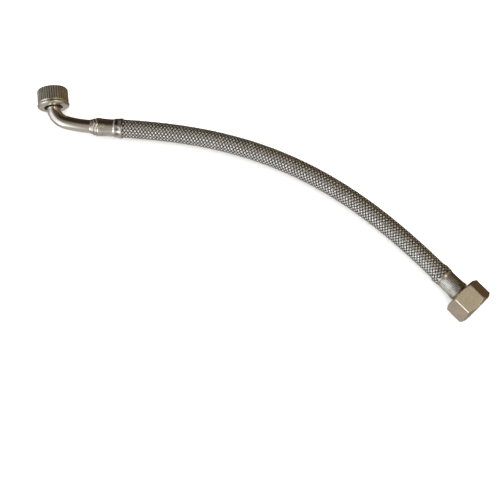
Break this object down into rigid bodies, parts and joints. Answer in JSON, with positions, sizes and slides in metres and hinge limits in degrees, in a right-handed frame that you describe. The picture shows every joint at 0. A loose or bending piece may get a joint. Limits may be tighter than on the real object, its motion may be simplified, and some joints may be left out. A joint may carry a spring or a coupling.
{
  "type": "braided supply line",
  "caption": "Flexible wire-braided water hose with a ribbed swivel nut on a bent elbow at one end and a swivel hex nut on a straight tail at the other.",
  "frame": {"origin": "on the elbow nut's axis, at the outer end of its thread; the hose's middle line lies in the plane z = 0", "axes": "+X runs from the elbow end towards the straight end, +Z is square to the plane that the hose bends in"},
  "size_m": [0.2981, 0.1596, 0.0252],
  "materials": {
    "liner": "matt black EPDM",
    "braid": "woven stainless wire",
    "gasket": "matt black EPDM",
    "elbow_tube": "bright nickel plate",
    "ferrule": "pressed stainless, satin",
    "tail": "turned brass",
    "elbow_nut": "nickel plate, worn satin",
    "hex_nut": "nickel plate, warm satin"
  },
  "bodies": {
    "elbow_end": {"elbow_tube": "elbow_tube", "elbow_ferrule": "ferrule", "liner_01": "liner", "braid_01": "braid"},
    "hose_02": {"liner_02": "liner", "braid_02": "braid"},
    "hose_03": {"liner_03": "liner", "braid_03": "braid"},
    "hose_04": {"liner_04": "liner", "braid_04": "braid"},
    "hose_05": {"liner_05": "liner", "braid_05": "braid"},
    "hose_06": {"liner_06": "liner", "braid_06": "braid"},
    "hose_07": {"liner_07": "liner", "braid_07": "braid"},
    "hose_08": {"liner_08": "liner", "braid_08": "braid"},
    "hose_09": {"liner_09": "liner", "braid_09": "braid"},
    "hose_10": {"liner_10": "liner", "braid_10": "braid"},
    "hose_11": {"liner_11": "liner", "braid_11": "braid"},
    "hose_12": {"liner_12": "liner", "braid_12": "braid"},
    "hose_13": {"liner_13": "liner", "braid_13": "braid"},
    "hose_14": {"liner_14": "liner", "braid_14": "braid"},
    "straight_end": {"liner_15": "liner", "braid_15": "braid", "straight_ferrule": "ferrule", "straight_tail": "tail"},
    "elbow_gasket": {"elbow_gasket": "gasket"},
    "elbow_nut": {"elbow_nut": "elbow_nut"},
    "hex_gasket": {"hex_gasket": "gasket"},
    "hex_nut": {"hex_nut": "hex_nut"}
  },
  "joints": [
    {"name": "elbow_half_bend_01", "type": "hinge", "parent": "hose_02", "child": "elbow_end", "pos_m": [0.06344, -0.02755, 0], "axis": [-0.0009, 0.0015, 1], "range_deg": [-18, 16], "stiffness_Nm_per_rad": 0.3},
    {"name": "elbow_half_bend_02", "type": "hinge", "parent": "hose_03", "child": "hose_02", "pos_m": [0.0794, -0.02937, 0], "axis": [-0.0009, -0.0015, 1], "range_deg": [-18, 16], "stiffness_Nm_per_rad": 0.3},
    {"name": "elbow_half_bend_03", "type": "hinge", "parent": "hose_04", "child": "hose_03", "pos_m": [0.09527, -0.03185, 0], "axis": [0.0017, 0, 1], "range_deg": [-18, 16], "stiffness_Nm_per_rad": 0.3},
    {"name": "elbow_half_lift", "type": "hinge", "parent": "hose_05", "child": "hose_04", "pos_m": [0.111, -0.03514, 0], "axis": [0.2311, 0.9729, 0], "range_deg": [-20, 20], "stiffness_Nm_per_rad": 1.5},
    {"name": "elbow_half_bend_05", "type": "hinge", "parent": "hose_06", "child": "hose_05", "pos_m": [0.12651, -0.03932, 0], "axis": [0, 0, 1], "range_deg": [-18, 16], "stiffness_Nm_per_rad": 0.3},
    {"name": "elbow_half_bend_06", "type": "hinge", "parent": "hose_07", "child": "hose_06", "pos_m": [0.14172, -0.04447, 0], "axis": [0, 0, 1], "range_deg": [-18, 16], "stiffness_Nm_per_rad": 0.3},
    {"name": "elbow_half_bend_07", "type": "hinge", "parent": "hose_08", "child": "hose_07", "pos_m": [0.15657, -0.05059, 0], "axis": [0, 0, 1], "range_deg": [-18, 16], "stiffness_Nm_per_rad": 0.3},
    {"name": "straight_half_bend_08", "type": "hinge", "parent": "hose_08", "child": "hose_09", "pos_m": [0.17099, -0.05768, 0], "axis": [0, 0, -1], "range_deg": [-18, 16], "stiffness_Nm_per_rad": 0.3},
    {"name": "straight_half_bend_09", "type": "hinge", "parent": "hose_09", "child": "hose_10", "pos_m": [0.18493, -0.06567, 0], "axis": [0, 0, -1], "range_deg": [-18, 16], "stiffness_Nm_per_rad": 0.3},
    {"name": "straight_half_bend_10", "type": "hinge", "parent": "hose_10", "child": "hose_11", "pos_m": [0.19835, -0.07449, 0], "axis": [0, 0, -1], "range_deg": [-18, 16], "stiffness_Nm_per_rad": 0.3},
    {"name": "straight_half_lift", "type": "hinge", "parent": "hose_11", "child": "hose_12", "pos_m": [0.21126, -0.08406, 0], "axis": [-0.6164, -0.7875, 0], "range_deg": [-20, 20], "stiffness_Nm_per_rad": 1.5},
    {"name": "straight_half_bend_12", "type": "hinge", "parent": "hose_12", "child": "hose_13", "pos_m": [0.22367, -0.09425, 0], "axis": [0.0017, 0, -1], "range_deg": [-18, 16], "stiffness_Nm_per_rad": 0.3},
    {"name": "straight_half_bend_13", "type": "hinge", "parent": "hose_13", "child": "hose_14", "pos_m": [0.23563, -0.10498, 0], "axis": [-0.0009, 0.0015, -1], "range_deg": [-18, 16], "stiffness_Nm_per_rad": 0.3},
    {"name": "straight_half_bend_14", "type": "hinge", "parent": "hose_14", "child": "straight_end", "pos_m": [0.2472, -0.11613, 0], "axis": [-0.0009, -0.0015, -1], "range_deg": [-18, 16], "stiffness_Nm_per_rad": 0.3},
    {"name": "elbow_nut_slide", "type": "slide", "parent": "elbow_end", "child": "elbow_gasket", "axis": [-0.1063, 0.9943, 0], "range_m": [0, 0.0012]},
    {"name": "elbow_nut_spin", "type": "hinge", "parent": "elbow_gasket", "child": "elbow_nut", "pos_m": [0, 0, 0], "axis": [-0.1063, 0.9943, 0], "continuous": true},
    {"name": "hex_nut_slide", "type": "slide", "parent": "straight_end", "child": "hex_gasket", "axis": [0.6902, -0.7236, 0], "range_m": [0, 0.0012]},
    {"name": "hex_nut_spin", "type": "hinge", "parent": "hex_gasket", "child": "hex_nut", "pos_m": [0.279, -0.14918, 0], "axis": [0.6902, -0.7236, 0], "continuous": true}
  ],
  "couplings": [
    {"joint": "elbow_half_bend_01", "follows": "elbow_half_bend_07", "ratio": 1},
    {"joint": "elbow_half_bend_02", "follows": "elbow_half_bend_07", "ratio": 1},
    {"joint": "elbow_half_bend_03", "follows": "elbow_half_bend_07", "ratio": 1},
    {"joint": "elbow_half_bend_05", "follows": "elbow_half_bend_07", "ratio": 1},
    {"joint": "elbow_half_bend_06", "follows": "elbow_half_bend_07", "ratio": 1},
    {"joint": "straight_half_bend_09", "follows": "straight_half_bend_08", "ratio": 1},
    {"joint": "straight_half_bend_10", "follows": "straight_half_bend_08", "ratio": 1},
    {"joint": "straight_half_bend_12", "follows": "straight_half_bend_08", "ratio": 1},
    {"joint": "straight_half_bend_13", "follows": "straight_half_bend_08", "ratio": 1},
    {"joint": "straight_half_bend_14", "follows": "straight_half_bend_08", "ratio": 1}
  ]
}
